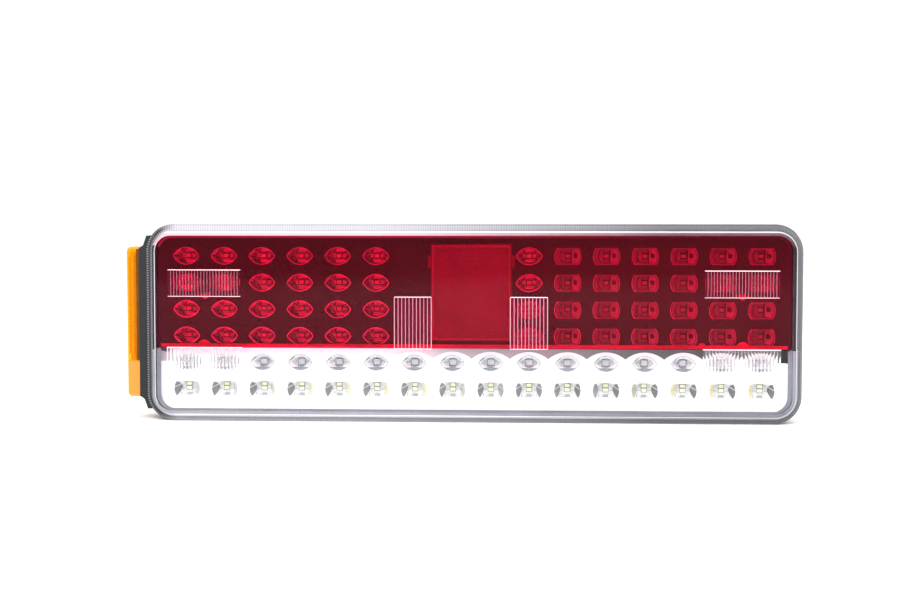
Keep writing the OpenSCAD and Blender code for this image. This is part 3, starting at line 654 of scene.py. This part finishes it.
for part, keep in (("top", lambda z, nx, nz: z > SPLIT), ("foot", lambda z, nx, nz: z <= SPLIT)):
    add_teeth("rim_teeth_" + part, (6.2, STEP + 0.04), (7.35, STEP + 0.04), *TOOTH,
              "teeth_" + part, keep)
    add_teeth("rim_teeth_in_" + part, (3.6, 40.05), (4.8, 39.7), *TOOTH, "teeth_in_" + part, keep)
    add_rim_strip("rim_groove_" + part, (6.3, STEP), (STEP_OUT, STEP), THIN, "groove_" + part,
                  keep=keep)
    add_rim_strip("rim_groove_in_" + part, (3.7, 39.95), (4.7, 39.62), THIN, "groove_in_" + part,
                  keep=keep)
    add_rim_strip("rim_flange_" + part, (4.9, 39.6), (6.3, STEP), 0.06, "flange_" + part,
                  keep=keep)
add_teeth("rim_pink_teeth", (0.3, LENS_FACE + 0.02), (1.3, 47.75), 1.45, 0.8, 0.1, "rim_pink",
          lambda z, nx, nz: nz >= 0.9)
add_rim_strip("rim_blush", (0.0, LENS_FACE + 0.02), (1.4, 47.62), THIN, "rim_blush", keep=at_top)
add_rim_strip("rim_rose", (1.4, 47.62), (2.0, 47.38), THIN, "rim_rose", keep=at_top)
add_rim_strip("rim_highlight_line", (2.3, 47.1), (2.9, 46.6), 0.06, "rim_highlight_line")
add_rim_strip("rim_shade", (0.1, 47.9), (2.1, 47.25), 0.04, "rim_shade", keep=at_foot)
add_rim_strip("rim_ends", (5.2, STEP), (STEP_OUT, STEP), 0.1, "rim_end",
              keep=lambda z, nx, nz: abs(nx) > 0.75)
add_rim_strip("rim_foot", (-0.7, SHELF), (0.9, SHELF), 0.1, "rim_foot", keep=at_foot)
add_rim_strip("rim_foot_ends", (-2.0, SHELF), (-0.7, SHELF), 0.1, "rim_foot",
              keep=lambda z, nx, nz: at_foot(z, nx, nz) and abs(nx) > 0.1, taper=True)
add_rim_strip("rim_edge_highlight", (0.0, LENS_FACE), (0.6, LENS_FACE), THIN, "rim_edge_highlight",
              keep=lambda z, nx, nz: nx < -0.8)
add_rim_strip("rim_red", (-1.6, SHELF + 1), (-0.1, SHELF + 1), 0.4, "rim_red", at_top)

# the reflex reflector: prisms behind the face, a bright border and its scalloped ends
REFLEX_X = (low("reflex_reflector")[0] + high("reflex_reflector")[0]) / 2
REFLEX_Z = (low("reflex_reflector")[2] + high("reflex_reflector")[2]) / 2
REFLEX_W, REFLEX_H = 51, 62
PRISM_LEVEL = -low("reflex_reflector")[1] - 3.4
BORDER_LEVELS = PRISM_LEVEL + 1.0, PRISM_LEVEL + 1.3
add_prism_sheet("reflex_prisms", (REFLEX_X, REFLEX_Z), REFLEX_W, REFLEX_H, 2.1, 0.9,
                lambda u, v, out: (u, -PRISM_LEVEL - out, v), "reflex_prism")
add_frames("reflex_border", [(REFLEX_X, REFLEX_Z)], REFLEX_W - 0.2, REFLEX_H - 0.2, 0.7,
           *BORDER_LEVELS, "reflex_line", "reflex_red")


def add_scallops():
    """Small half-round beads along the border's top and bottom, and finer ones up its sides."""
    bars = []
    w, h = REFLEX_W / 2 - 0.9, REFLEX_H / 2 - 0.9
    edges = [(2.7, 0.75, w, s, False) for s in (-1, 1)] + [(2.0, 0.4, h, s, True) for s in (-1, 1)]
    for pitch, r, half, side, upright in edges:
        count = int(2 * half / pitch)
        for i in range(count):
            along = (i - (count - 1) / 2) * pitch
            edge = side * (w if upright else h)
            rings = []
            for level in BORDER_LEVELS:
                ring = []
                for k in range(7):
                    a = math.pi * k / 6
                    u, v = along + r * math.cos(a), edge - side * r * math.sin(a)
                    x, z = (v, u) if upright else (u, v)
                    ring.append((REFLEX_X + x, -level, REFLEX_Z + z))
                rings.append(ring)
            bars.append(rings)
    return add_bars("reflex_scallops", bars, "reflex_line")


add_scallops()


# the LEDs: painted shade on the floor of each cup, a painted shadow in the gap round the LED, and
# a dark outline of painted shade round its package
TURN_ENDS = [(x, z + s * 3.4) for x, z in TURN_SITES for s in (-1, 1)]
REVERSE_LEDS = [(x, z + up) for x, z in REVERSE_SITES for up in (-0.35, 2.55)]
for name, sites, width, height, line, material in (
        ("tail_floors", TAIL_SITES, 5.1, 6.7, 0.6, "tail_floor"),
        ("turn_floors", TURN_SITES, 5.2, 9.9, 0.8, "cup_floor_shade"),
        ("turn_ends", TURN_ENDS, 3.6, 3.0, 1.4, "cup_floor_shade")):
    add_frames(name, sites, width, height, line, BOARD_TOP, BOARD_TOP + 0.3, material,
               "board_white")
for name, sites, width, height, line, bottom, top, material in (
        ("tail_gaps", TAIL_SITES, 4.2, 3.9, 0.35, BOARD_TOP, BOARD_TOP + 0.4, "led_painted_shadow"),
        ("turn_gaps", TURN_SITES, 4.5, 3.8, 0.48, BOARD_TOP, BOARD_TOP + 0.5, "led_painted_shadow"),
        ("tail_outlines", TAIL_SITES, 3.6, 2.9, 0.22, LED_TOP - 0.3, LED_TOP + 0.1, "led_painted_shadow"),
        ("turn_outlines", TURN_SITES, 3.6, 2.9, 0.25, LED_TOP - 0.3, LED_TOP + 0.1, "led_painted_shadow"),
        ("fog_outlines", FOG_SITES, 5.0, 4.3, 0.32, FOG_TOP - 0.4, FOG_TOP + 0.1, "led_outline"),
        ("reverse_outlines", REVERSE_LEDS, 4.1, 2.9, 0.42, LED_TOP - 0.3, LED_TOP + 0.1,
         "reverse_outline")):
    add_frames(name, sites, width, height, line, bottom, top, material, "chip_black")


# the cups' mouths, and how far the barrel and almond walls lean in for each mm of depth
CUP_W, CUP_H, CONE, ALMOND_CONE = 15, 9.2, 0.45, 0.42
CUP_MOUTH = BEZEL_TOP - 1.5
# an almond's two arcs: their radius, and how far their centres are from the cup's middle
ALMOND_R = (CUP_W * CUP_W + CUP_H * CUP_H) / 4 / CUP_H
ALMOND_MID = ALMOND_R - CUP_H / 2


def on_barrel(x, z, u, v, gap):
    """A point `gap` in front of a barrel cup's wall or lip, (u, v) from the cup's middle."""
    wall = CUP_MOUTH + (math.hypot(u, v) - CUP_W / 2) / CONE
    return x + u, -min(wall, BEZEL_TOP + 0.2) - gap, z + v


def add_lobes(name, side, material):
    """The leaf-shaped part of each reversing cup's wall, coloured along the lamp as a painted
    reflection of what is in front of it.
    """
    bars = []
    count = 14
    top, tall = 4.8, 9.9
    edge_r, bend_r = 8.7, 8.2
    for x, z in REVERSE_SITES:
        rings = []
        for i in range(count + 1):
            t = i / count
            v = top - tall * t
            outer = math.sqrt(edge_r * edge_r - v * v)
            inner = outer - 0.15 - 4.5 * math.sin(math.pi * t) ** 0.8 * (1 - 0.3 * t)
            bend = max(inner + 0.02, math.sqrt(bend_r * bend_r - v * v))
            rings.append([on_barrel(x, z, side * u, v, gap)
                          for u, gap in ((inner, 0.1), (bend, 0.1), (outer, 0.1),
                                         (outer, 0.25), (bend, 0.25), (inner, 0.25))])
        bars.append(rings)
    return add_bars(name, bars, material)


def add_cup_marks():
    """The marks that show in a reversing cup: painted shade along its waist and lower corners, and
    a painted highlight along its bright facet edge.
    """
    thick, waist_v = 0.15, -0.65
    waists, corners, glints = [], [], []
    for column, (x, z) in enumerate(REVERSE_SITES):
        for side in (-1, 1):
            waists.append([(x + side * 2.3, -LED_TOP - 0.2, z + waist_v),
                           on_barrel(x, z, side * 5, waist_v, 0.3)])
            corners.append([on_barrel(x, z, side * 5, v, 0.3) for v in (-2.7, -4.7)])
            seen = column < 11 if side < 0 else column > 6
            if seen:
                glints.append([on_barrel(x, z, side * u, v, 0.6)
                               for u, v in ((4.4, 2.4), (8.4, 0.5))])
    for name, lines, wide, tall, material in (
            ("cup_waists", waists, 0, 0.28, "waist_painted_shade"),
            ("cup_corners", corners, 0.3, 0, "cup_shade"),
            ("cup_glints", glints, 0, 0.42, "white_plastic")):
        add_bars(name, [[[(x, y, z), (x + wide, y, z + tall), (x + wide, y - thick, z + tall),
                          (x, y - thick, z)] for x, y, z in ends] for ends in lines],
                 material)


def add_almond_lines(name, sites, depth, line, material):
    """A thin line of painted shade round each almond cup, `depth` below its mouth, or above it if
    negative.
    """
    verts, faces = [], []
    steps = 14
    wall = CUP_MOUTH - depth + 0.05
    for x, z in sites:
        base = len(verts)
        for shrink in (depth * ALMOND_CONE, depth * ALMOND_CONE + line):
            arc = ALMOND_R - shrink
            tip = math.acos(ALMOND_MID / arc)
            for level in (wall, wall + 0.12):
                for s in (1, -1):
                    for k in range(steps):
                        a = s * (tip - 2 * tip * k / steps)
                        verts.append((x + s * arc * math.sin(s * a), -level,
                                      z + s * (arc * math.cos(a) - ALMOND_MID)))
        n = 2 * steps
        for k in range(n):
            m = (k + 1) % n
            faces += [tuple(base + i for i in quad) for quad in (
                (n + k, n + m, 3 * n + m, 3 * n + k), (k, 2 * n + k, 2 * n + m, m),
                (k, m, n + m, n + k), (2 * n + k, 3 * n + k, 3 * n + m, 2 * n + m))]
    return add_piece(name, verts, faces, material)


def add_crescents(name, sites, first, last, turn, widest):
    """A shaded sliver on each almond cup's wall, from `first` to `last` of the way along the
    arc, on its lower side for turn = -1."""
    bars = []
    count = 12
    edge = -0.45
    for x, z in sites:
        rings = []
        for i in range(count + 1):
            wide = 0.1 + widest * math.sin(math.pi * i / count)
            ring = []
            for shrink, gap in ((edge, 0.1), (edge + wide, 0.1), (edge + wide, 0.2), (edge, 0.2)):
                arc = ALMOND_R - shrink
                tip = math.acos(ALMOND_MID / arc)
                a = tip * (first + (last - first) * i / count)
                level = CUP_MOUTH - shrink / ALMOND_CONE + gap
                ring.append((x + arc * math.sin(a), -level,
                             z + turn * (arc * math.cos(a) - ALMOND_MID)))
            rings.append(ring)
        bars.append(rings)
    return add_bars(name, bars, "cup_shade")


def add_turn_marks():
    """Painted light and shade in a turn cup: a painted highlight on its right side with a dark
    round spot, a painted reflection; painted shade on its left side; a dark painted edge between
    them;
    and grey painted shade over the lip, darker at its ends, so that it is no brighter than the
    cup."""
    lip = -low("upper_reflector")[1]
    edge_half, edge_left, edge_right = 4.4, 1.9, 2.9
    hole_r, bright_r, spot_r, spot_x = 4.5, 7.4, 1.6, 4.9
    lips, ends, edges, dims, brights, spots = [], [], [], [], [], []
    for x, z in TURN_SITES:
        for side in (-1, 1):
            rings = []
            for i in range(17):
                a = math.pi * i / 16
                rings.append([(x + (CUP_W / 2 + out) * math.cos(a), -lip - rise,
                               z + side * min(CUP_H / 2 + out, (CUP_W / 2 + out) * math.sin(a)))
                              for out, rise in ((0, 0.02), (0.95, 0.02), (0.95, 0.1), (0, 0.1))])
            lips.append(rings)
            rings = []
            for i in range(9):
                a = 0.62 * (i / 4 - 1)
                rings.append([(x + side * (CUP_W / 2 + out) * math.cos(a), -lip - rise,
                               z + (CUP_W / 2 + out) * math.sin(a))
                              for out, rise in ((0.4, 0.05), (1, 0.05), (1, 0.16), (0.4, 0.16))])
            ends.append(rings)
        edges.append([[(x + u, -LED_TOP - rise, z + v)
                       for u, rise in ((edge_left, 0.3), (edge_right, 0.3),
                                       (edge_right, 0.45), (edge_left, 0.45))]
                      for v in (-edge_half, edge_half)])
        dims.append([[(x - u, -LED_TOP - rise, z + v)
                      for u, rise in ((2.1, 0.2), (wide, 0.2), (wide, 0.3), (2.1, 0.3))]
                     for v, wide in ((-3.8, 2.4), (-2.5, 3.7), (0, 4.5), (2.5, 3.7), (3.8, 2.4))])
        rings = []
        for i in range(13):
            v = edge_half - 2 * edge_half * i / 12
            near = max(edge_right, math.sqrt(max(0, hole_r * hole_r - v * v)))
            far = math.sqrt(bright_r * bright_r - v * v)
            rings.append([on_barrel(x, z, u, v, gap)
                          for u, gap in ((near, 0.1), (far, 0.1), (far, 0.25), (near, 0.25))])
        brights.append(rings)
        rings = []
        for i in range(13):
            v = -spot_r * math.cos(math.pi * i / 12)
            half = 0.05 + (spot_r - 0.05) * math.sin(math.pi * i / 12)
            rings.append([on_barrel(x, z, spot_x + u, 0.2 + v, gap)
                          for u, gap in ((-half, 0.3), (half, 0.3), (half, 0.42), (-half, 0.42))])
        spots.append(rings)
    add_bars("turn_lips", lips, "turn_lip")
    add_bars("turn_lip_ends", ends, "turn_painted_dark")
    add_bars("turn_edges", edges, "turn_painted_dark")
    add_bars("turn_dims", dims, "turn_painted_shade")
    add_bars("turn_brights", brights, "turn_painted_highlight")
    add_bars("turn_spots", spots, "turn_painted_dark")


add_lobes("lobes_left", -1, "lobe_left_painted_reflection")
add_lobes("lobes_right", 1, "lobe_right_painted_reflection")
add_cup_marks()
# painted shade round the almond cups' mouths and along a step inside them
add_almond_lines("fog_mouths", FOG_SITES, -1.65, 0.38, "mouth_painted_shade")
add_almond_lines("fog_steps", FOG_SITES, 3.6, 0.3, "cup_shade")
add_crescents("fog_shades", FOG_SITES, -0.6, 0.6, -1, 2.0)
add_crescents("fog_points", FOG_SITES, -0.93, -0.4, 1, 1.0)
add_turn_marks()


# the dark band where the amber lens meets its black base: painted shade
MARKER_FACE, MARKER_FRONT = low("marker_lens")[:2]
MARKER_INNER, MARKER_BACK, MARKER_TOP = high("marker_lens")
BAND_TOP, BAND_END = MARKER_TOP - 1, -26
add_frames("marker_shade_band", [(MARKER_INNER - 1.1, (BAND_TOP + BAND_END) / 2)], 2.1,
           BAND_TOP - BAND_END, 1.04, -MARKER_FRONT, -MARKER_FRONT + 0.1, "marker_painted_shade",
           "amber_lens")


def add_studs():
    """The M8 studs with their threads, shoulders and hexagonal heads."""
    box_low, box_high = low("mounting_studs"), high("mounting_studs")
    tip, head = box_high[1], box_low[1]
    sides, hex_r, shoulder_r = 24, 9.2, 5
    thread_r, thread_pitch, thread_deep, thread_step = 4, 1.25, 0.6, 0.25
    flat = hex_r * math.cos(math.pi / 6)
    bars = []
    for sx in (-1, 1):
        for sz in (-1, 1):
            cx = sx * (box_high[0] - hex_r)
            cz = sz * (box_high[2] - flat)
            levels = [(tip - thread_step * i, "thread") for i in range(int(tip / thread_step) + 1)]
            levels += [(0, "shoulder"), (head + 5, "shoulder"), (head + 5, "chamfer"),
                       (head + 4.6, "head"), (head + 0.6, "head"), (head, "chamfer")]
            rings = []
            for y, part in levels:
                ring = []
                for k in range(sides):
                    a = 2 * math.pi * k / sides
                    if part == "thread":
                        phase = (y / thread_pitch + k / sides) % 1
                        r = thread_r - thread_deep * (1 - abs(2 * phase - 1))
                        r = min(r, thread_r - 1 + (tip - y) / 1.2)
                    elif part == "shoulder":
                        r = shoulder_r
                    else:
                        r = flat / math.cos(a % (math.pi / 3) - math.pi / 6)
                        r = min(r, flat + 0.3) if part == "chamfer" else r
                    ring.append((cx + r * math.cos(a), y, cz + r * math.sin(a)))
                rings.append(ring)
            bars.append(rings)
    studs = add_bars("studs", bars, "stud_zinc")
    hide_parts("mounting_studs")


add_studs()

# the marker's own reflex prisms on its outer face, and the ribs over its LEDs
MARKER_MID = (MARKER_FRONT + MARKER_BACK) / 2
MARKER_W, MARKER_PITCH = 19, 2.6
add_prism_sheet("marker_prisms", (MARKER_MID, 10.5), MARKER_W, 69, MARKER_PITCH, 0.9,
                lambda u, v, out: (MARKER_FACE + 1.3 - out, u, v), "marker_prism")
ribs = []
for i in range(8):
    z = BAND_END - 3.5 - MARKER_PITCH * i
    ribs.append([[(MARKER_FACE + 0.9, y, z - 1.2), (MARKER_FACE + 0.9, y, z + 1.2),
                  (MARKER_FACE + 0.1, y, z)]
                 for y in (MARKER_MID - MARKER_W / 2, MARKER_MID + MARKER_W / 2)])
add_bars("marker_ribs", ribs, "marker_prism")


def add_flutes(name, cx, cz, count, width, height, half_line):
    """The flutes of one lens patch: bright valley lines and pale rounded ends, painted glints, and
    clear rods. The narrow middle patches have a line along each side as well."""
    pitch, steps, crown = width / count, 6, 0.45
    sunk = 0.05 - LENS_FACE
    valleys = []
    for i in range(count + 1) if count < 20 else range(1, count):
        x = cx - width / 2 + i * pitch
        valleys.append([[(x - half_line, sunk, z), (x + half_line, sunk, z),
                         (x, -LENS_FACE - 0.42, z)] for z in (cz - height / 2, cz + height / 2)])
    add_bars("flute_glint_lines_" + name, valleys, "flute_glint_line")
    ends = []
    for end in (-1, 1):
        edge = cz + end * height / 2
        rings = []
        for i in range(count * steps + 1):
            x = cx - width / 2 + i * pitch / steps
            rise = 0.1 + crown * abs(math.sin(math.pi * i / steps))
            rings.append([(x, sunk, edge), (x, -LENS_FACE - rise, edge - end * 0.1),
                          (x, sunk, edge + end * 0.4)])
        ends.append(rings)
    add_bars("flute_ends_" + name, ends, "flute_end")
    rods = []
    clearance, arc_steps = 0.02, 10
    for i in range(count):
        x0 = cx - width / 2 + (i + clearance) * pitch
        rod = pitch * (1 - 2 * clearance)
        arc = [(x0 + rod * (1 - k / arc_steps), 0.1 + 0.485 * math.sin(math.pi * k / arc_steps))
               for k in range(arc_steps + 1)]
        ring = [(x0 + rod, 0), *arc, (x0, 0)]
        rods.append([[(x, -LENS_FACE - rise, z) for x, rise in ring]
                     for z in (cz - height / 2, cz + height / 2)])
    add_bars("flute_rods_" + name, rods, "flute_glass")


FLUTE_X = 175
CLEAR_Z = SPLIT - 8.7
MID = (PITCH_Y + SPLIT) / 2, 10, 24, PITCH_Y - SPLIT - 0.2
for name, x, z, count, width, height, half_line in (
        ("left", -FLUTE_X, row_z(1), 24, 48, 17, 0.18),
        ("right", FLUTE_X, row_z(1), 24, 48, 17, 0.18),
        ("mid_left", -1.5 * PITCH_X, *MID, 0.34), ("mid_right", 1.5 * PITCH_X, *MID, 0.34),
        ("low_left", -FLUTE_X, CLEAR_Z, 24, 50, 17.4, 0.24),
        ("low_right", FLUTE_X, CLEAR_Z, 24, 50, 17.4, 0.24)):
    add_flutes(name, x, z, count, width, height, half_line)


def add_colour_edge():
    """The bright lower edge of the red shot, a painted highlight, with half-round humps over two
    screws and a smaller one inside the right-hand screw."""
    rings = []
    humps = ((-SCREW_X, 3.6), (150, 2.4), (SCREW_X, 3.6))
    count, half, back, front = 400, 205, -41.5, -42.3
    for i in range(count + 1):
        x = -half + 2 * half * i / count
        top = SPLIT + 2.3
        for hump_x, r in humps:
            if abs(x - hump_x) < r:
                top += 0.7 * math.sqrt(r * r - (x - hump_x) ** 2)
        rings.append([(x, front, SPLIT + 0.1), (x, front, top), (x, back, top),
                      (x, back, SPLIT + 0.1)])
    return add_bars("colour_edge", [rings], "edge_glow")


def add_gap_strip():
    """The ledge that shows between the red shot and the scalloped white bezel, its grey painted
    light at the marker's end and painted shade towards the far end.
    """
    deep = 4.7
    r = (PITCH_X * PITCH_X / 4 + deep * deep) / (2 * deep)
    steps = 12
    middle = row_z(3.5)
    back, front = -BEZEL_TOP - 0.1, -BEZEL_TOP - 0.4
    rings = []
    for i in range(COLUMNS * steps + 1):
        x = (i / steps - COLUMNS / 2) * PITCH_X
        away = (i % steps) / steps * PITCH_X - PITCH_X / 2
        top, bottom = middle + 3, middle - 1.25 - (r - math.sqrt(r * r - away * away))
        rings.append([(x, back, top), (x, back, bottom), (x, front, bottom), (x, front, top)])
    return add_bars("gap_strip", [rings], "ledge")


def add_ledge_end():
    """The pale end of the ledge on the marker's side."""
    face = -BEZEL_TOP - 0.1
    left, right, top, foot, r = -207.4, -201, SPLIT - 3.4, SPLIT - 9.8, 2.5
    corners = [(left, foot), (right, foot)]
    corners += [(right - r + r * math.cos(a), top - r + r * math.sin(a))
                for a in (math.pi / 2 * k / 6 for k in range(7))]
    corners.append((left, SPLIT - 2.6))
    rings = [[(x, face - rise, z) for x, z in corners] for rise in (0, 0.3)]
    return add_bars("ledge_end", [rings], "ledge_grey")


add_colour_edge()
add_gap_strip()
add_ledge_end()


# ---------- camera, light and floor ----------

def look(obj, target):
    obj.rotation_euler = (Vector(target) - obj.location).to_track_quat("-Z", "Y").to_euler()


def add_camera():
    """The photo's viewpoint, fitted to the rim, the LEDs and the cups."""
    camera = bpy.data.objects.new("camera", bpy.data.cameras.new("camera"))
    camera.location = (0.048, -1.1385, 0.0771)
    look(camera, (-0.0026, -0.2413, 0.0267))
    camera.data.lens = 67.3
    camera.data.sensor_width = 36
    bpy.context.scene.collection.objects.link(camera)
    bpy.context.scene.camera = camera


def add_softbox(name, location, target, size, power):
    light = bpy.data.lights.new(name, "AREA")
    light.shape = "RECTANGLE"
    light.size, light.size_y = size
    light.energy = power
    obj = bpy.data.objects.new(name, light)
    obj.location = location
    look(obj, target)
    bpy.context.scene.collection.objects.link(obj)


def add_world():
    """White light all round, dimmer from straight in front and from low at both sides."""
    world = bpy.data.worlds.new("studio")
    world.use_nodes = True
    nodes, links = world.node_tree.nodes, world.node_tree.links
    toward = coordinates(nodes, links, "Generated")
    front = map_range(nodes, links, toward["Y"], -0.95, -0.35, 0.6, 1.25)
    aside = math_node(nodes, links, "ABSOLUTE", toward["X"])
    above = math_node(nodes, links, "MAXIMUM", toward["Z"], 0)
    above = math_node(nodes, links, "MULTIPLY", above, 0.9)
    aside = math_node(nodes, links, "SUBTRACT", aside, above)
    sides = map_range(nodes, links, aside, 0.5, 0.85, 1, 0.2)
    links.new(math_node(nodes, links, "MULTIPLY", front, sides),
              nodes["Background"].inputs["Strength"])
    nodes["Background"].inputs["Color"].default_value = (1, 1, 1, 1)
    bpy.context.scene.world = world


def add_floor():
    """A plain floor just under the lamp."""
    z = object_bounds()[0][2] - 0.0002
    half = 60
    mesh = bpy.data.meshes.new("floor")
    mesh.from_pydata([(-half, -half, z), (half, -half, z), (half, half, z), (-half, half, z)], [],
                     [(0, 1, 2, 3)])
    floor = bpy.data.objects.new("floor", mesh)
    floor.data.materials.append(solid("floor", (0.93, 0.93, 0.93), 0.8, vary=0.01, grain=50,
                                      specular=0.1))
    bpy.context.scene.collection.objects.link(floor)


add_camera()
add_world()
add_softbox("top", (0.0, -0.35, 1.1), (0, 0, 0), (1.6, 0.8), 16)
add_softbox("front", (-0.2, -1.9, 1.0), (0, 0, 0), (1.2, 0.9), 32)
add_floor()
bpy.context.scene.view_settings.view_transform = "Standard"
bpy.context.scene.cycles.transparent_max_bounces = 32  # enough for all the clear layers
